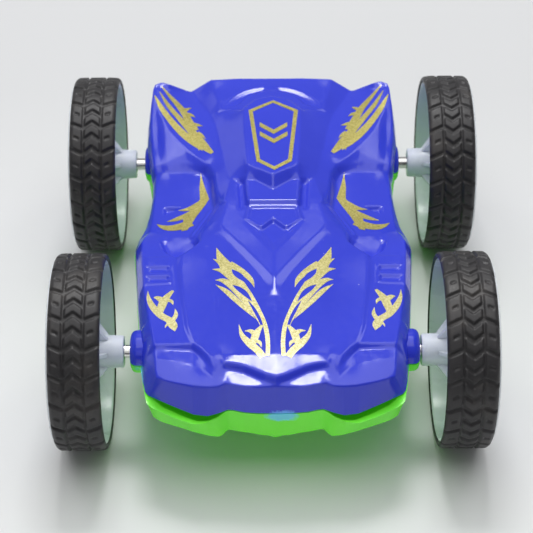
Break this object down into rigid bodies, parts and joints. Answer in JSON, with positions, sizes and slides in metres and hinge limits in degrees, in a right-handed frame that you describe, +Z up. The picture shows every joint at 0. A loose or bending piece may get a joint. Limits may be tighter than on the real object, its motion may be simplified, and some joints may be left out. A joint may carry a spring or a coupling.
{
  "type": "friction stunt car",
  "caption": "Double-sided toy stunt car: clam-shell body around a flywheel gearbox geared to both axles, with oversized thin-ring wheels that clear the roof and belly.",
  "frame": {"origin": "on the ground, midway between the two axles, on the car's centre plane", "axes": "+X across the car, to the right of someone facing the bonnet end; -Y towards the bonnet end; +Z up, out of the blue roof plate"},
  "size_m": [0.0996, 0.1142, 0.044],
  "materials": {
    "shell_blue": "glossy moulded plastic, soft highlights",
    "shell_green": "fluorescent, slightly translucent moulded plastic",
    "axle_steel": "bright drawn steel rod",
    "rim_clear": "milky translucent moulded plastic",
    "tyre_rubber": "matt moulded rubber with a chevron tread",
    "gear_nylon": "natural nylon",
    "gear_red": "dyed nylon",
    "pin_steel": "ground pin",
    "flywheel_steel": "turned steel disc",
    "pinion_brass": "cut brass",
    "gearbox_plastic": "matt black moulding",
    "screw_steel": "zinc-plated self-tapping screw"
  },
  "bodies": {
    "chassis": {"upper_shell": "shell_blue", "lower_shell": "shell_green", "gearbox_left": "gearbox_plastic", "gearbox_right": "gearbox_plastic", "front_idler_1_pin": "pin_steel", "front_idler_2_pin": "pin_steel", "rear_idler_1_pin": "pin_steel", "rear_idler_2_pin": "pin_steel", "gearbox_screw_front_low": "screw_steel", "gearbox_screw_front_high": "screw_steel", "gearbox_screw_rear_low": "screw_steel", "gearbox_screw_rear_high": "screw_steel", "shell_screw_front_left": "screw_steel", "shell_screw_front_right": "screw_steel", "shell_screw_rear_left": "screw_steel", "shell_screw_rear_right": "screw_steel"},
    "front_wheelset": {"front_axle": "axle_steel", "front_axle_gear": "gear_nylon", "front_left_rim": "rim_clear", "front_right_rim": "rim_clear", "front_left_tyre": "tyre_rubber", "front_right_tyre": "tyre_rubber"},
    "rear_wheelset": {"rear_axle": "axle_steel", "rear_axle_gear": "gear_nylon", "rear_left_rim": "rim_clear", "rear_right_rim": "rim_clear", "rear_left_tyre": "tyre_rubber", "rear_right_tyre": "tyre_rubber"},
    "front_idler_gear_1": {"front_idler_1": "gear_nylon"},
    "front_idler_gear_2": {"front_idler_2": "gear_red"},
    "rear_idler_gear_1": {"rear_idler_1": "gear_nylon"},
    "rear_idler_gear_2": {"rear_idler_2": "gear_red"},
    "flywheel_rotor": {"flywheel": "flywheel_steel", "flywheel_shaft": "pin_steel", "flywheel_pinion": "pinion_brass"}
  },
  "joints": [
    {"name": "front_wheelset_spin", "type": "hinge", "parent": "chassis", "child": "front_wheelset", "pos_m": [0, -0.0351, 0.022], "axis": [1, 0, 0], "continuous": true},
    {"name": "front_idler_1_spin", "type": "hinge", "parent": "chassis", "child": "front_idler_gear_1", "pos_m": [0, -0.0246, 0.022], "axis": [1, 0, 0], "continuous": true},
    {"name": "front_idler_2_spin", "type": "hinge", "parent": "chassis", "child": "front_idler_gear_2", "pos_m": [0, -0.0132, 0.022], "axis": [1, 0, 0], "continuous": true},
    {"name": "flywheel_spin", "type": "hinge", "parent": "chassis", "child": "flywheel_rotor", "pos_m": [0, 0, 0.022], "axis": [1, 0, 0], "continuous": true},
    {"name": "rear_idler_2_spin", "type": "hinge", "parent": "chassis", "child": "rear_idler_gear_2", "pos_m": [0, 0.0132, 0.022], "axis": [1, 0, 0], "continuous": true},
    {"name": "rear_idler_1_spin", "type": "hinge", "parent": "chassis", "child": "rear_idler_gear_1", "pos_m": [0, 0.0246, 0.022], "axis": [1, 0, 0], "continuous": true},
    {"name": "rear_wheelset_spin", "type": "hinge", "parent": "chassis", "child": "rear_wheelset", "pos_m": [0, 0.0351, 0.022], "axis": [1, 0, 0], "continuous": true}
  ],
  "couplings": [
    {"joint": "front_idler_1_spin", "follows": "front_wheelset_spin", "ratio": -2.5},
    {"joint": "front_idler_2_spin", "follows": "front_wheelset_spin", "ratio": 6.1364},
    {"joint": "flywheel_spin", "follows": "front_wheelset_spin", "ratio": -13.149},
    {"joint": "rear_idler_2_spin", "follows": "front_wheelset_spin", "ratio": 6.1364},
    {"joint": "rear_idler_1_spin", "follows": "front_wheelset_spin", "ratio": -2.5},
    {"joint": "rear_wheelset_spin", "follows": "front_wheelset_spin", "ratio": 1}
  ]
}
